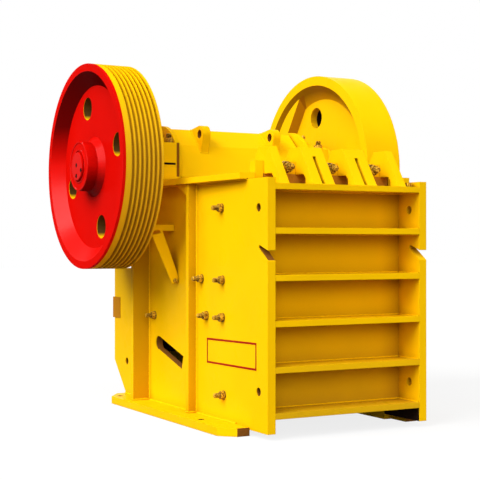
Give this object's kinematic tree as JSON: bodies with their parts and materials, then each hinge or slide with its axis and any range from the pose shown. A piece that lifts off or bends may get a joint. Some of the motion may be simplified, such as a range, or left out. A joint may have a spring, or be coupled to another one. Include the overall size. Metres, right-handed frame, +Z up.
{
  "type": "jaw crusher",
  "caption": "Jaw crusher with a ribbed welded frame, a belt sheave and a flywheel on an eccentric shaft, and a moving jaw held by a toggle plate.",
  "frame": {"origin": "middle of the anchor bolt pattern, on the undersides of the base plates", "axes": "+Z up, +X along the shaft from the belt sheave to the flywheel, -Y towards the ribbed front wall"},
  "size_m": [2.8, 2.9669, 3.07],
  "materials": {
    "yellow_paint": "glossy enamel",
    "red_paint": "glossy enamel",
    "machined_steel": "turned",
    "manganese_steel": "as cast",
    "dark_steel": "oiled"
  },
  "bodies": {
    "frame": {"base_plate_left": "yellow_paint", "base_plate_right": "yellow_paint", "bearing_base_left": "yellow_paint", "bearing_base_right": "yellow_paint", "bearing_cap_left": "yellow_paint", "bearing_cap_right": "yellow_paint", "bearing_covers": "yellow_paint", "bearing_shelf_left": "yellow_paint", "bearing_shelf_right": "yellow_paint", "belt_guard_bracket": "yellow_paint", "cheek_plate_left": "manganese_steel", "cheek_plate_right": "manganese_steel", "end_gussets": "yellow_paint", "fixed_jaw_plate": "manganese_steel", "front_rib_1": "yellow_paint", "front_rib_2": "yellow_paint", "front_rib_3": "yellow_paint", "front_rib_4": "yellow_paint", "front_rib_5": "yellow_paint", "front_rib_6": "yellow_paint", "front_wall": "yellow_paint", "jaw_clamp": "yellow_paint", "jaw_wedge": "dark_steel", "rear_beam": "yellow_paint", "rear_wall": "yellow_paint", "shelf_gussets": "yellow_paint", "side_rib_front_left": "yellow_paint", "side_rib_front_right": "yellow_paint", "side_rib_rear_left": "yellow_paint", "side_rib_rear_right": "yellow_paint", "side_wall_left": "yellow_paint", "side_wall_right": "yellow_paint", "toggle_block": "yellow_paint", "twin_gussets": "yellow_paint"},
    "rotor": {"eccentric_shaft": "machined_steel", "flywheel": "yellow_paint", "flywheel_end_cap": "yellow_paint", "sheave": "red_paint", "sheave_end_cap": "red_paint"},
    "moving_jaw": {"lifting_lugs": "yellow_paint", "pitman": "yellow_paint", "swing_jaw_plate": "manganese_steel", "tension_rods": "dark_steel", "tension_springs": "dark_steel"},
    "toggle": {"toggle_plate": "dark_steel"}
  },
  "joints": [
    {"name": "shaft_spin", "type": "hinge", "parent": "frame", "child": "rotor", "pos_m": [0, 0.364, 2.133], "axis": [1, 0, 0], "continuous": true},
    {"name": "jaw_swing", "type": "hinge", "parent": "frame", "child": "moving_jaw", "pos_m": [0, 0.364, 2.133], "axis": [1, 0, 0], "range_deg": [-0.45, 0.45]},
    {"name": "toggle_swing", "type": "hinge", "parent": "frame", "child": "toggle", "pos_m": [0, 0.439, 0.645], "axis": [1, 0, 0], "range_deg": [-0.65, 0.65]}
  ],
  "couplings": [
    {"joint": "toggle_swing", "follows": "jaw_swing", "ratio": 1.369}
  ]
}
